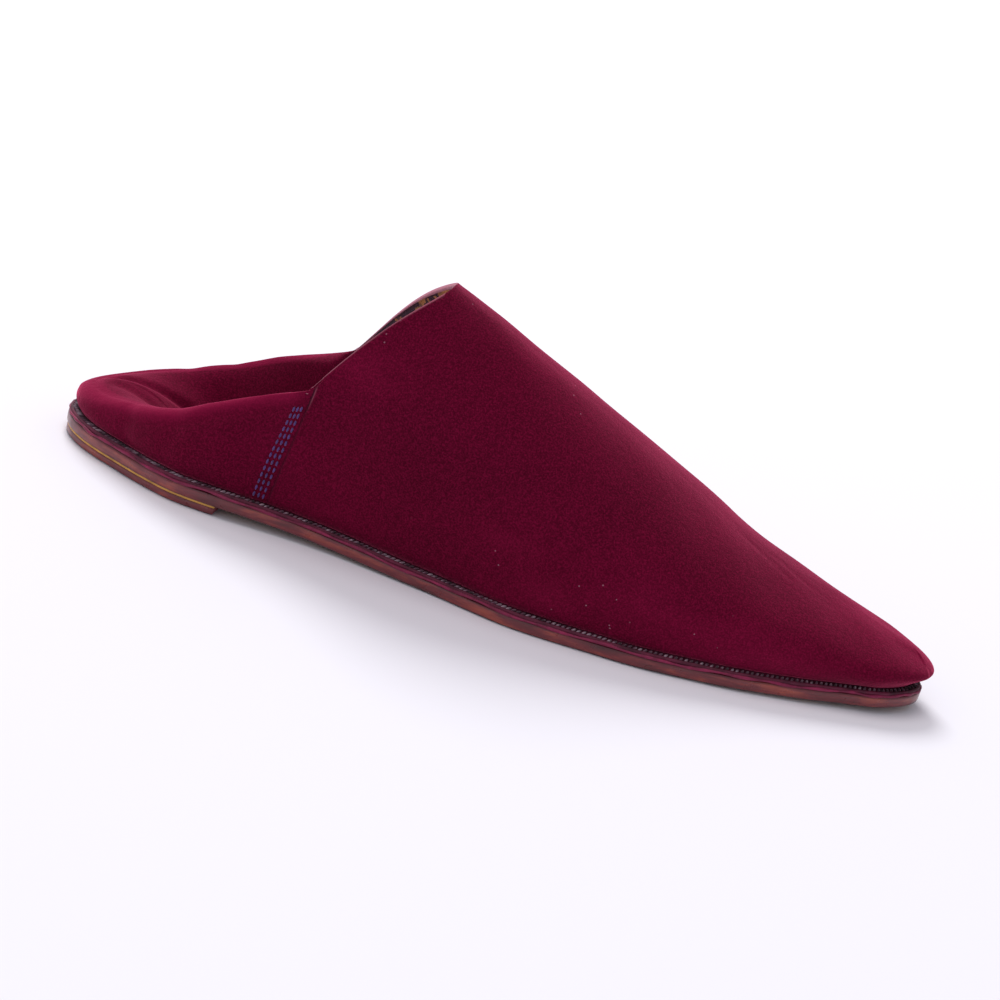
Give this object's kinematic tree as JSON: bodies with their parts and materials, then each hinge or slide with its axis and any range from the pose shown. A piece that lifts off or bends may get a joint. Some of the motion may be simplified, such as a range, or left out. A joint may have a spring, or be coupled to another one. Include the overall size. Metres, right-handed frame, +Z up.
{
  "type": "babouche slipper",
  "caption": "Right babouche slipper: leather sole with a low heel lift, stitched welt, insole and a hollow suede upper with a high peaked vamp and a trodden-down back.",
  "frame": {"origin": "middle of the slipper's bounding box, on the floor", "axes": "+X from heel to toe, +Y to the inner side of the foot, +Z up"},
  "size_m": [0.272, 0.0786, 0.0816],
  "materials": {
    "suede": "deep burgundy suede, matt, with a soft nap and a pinkish sheen at grazing angles",
    "welt_leather": "dark burgundy leather strip with whip-stitches",
    "insole_leather": "smooth natural tan leather, matt",
    "sole_leather": "waxed red-brown edge, semi-gloss, with the natural grain below",
    "heel_leather": "waxed red-brown edge, semi-gloss"
  },
  "bodies": {
    "root": {"upper": "suede", "welt": "welt_leather", "insole": "insole_leather", "outsole": "sole_leather", "heel_lift": "heel_leather"}
  },
  "joints": []
}
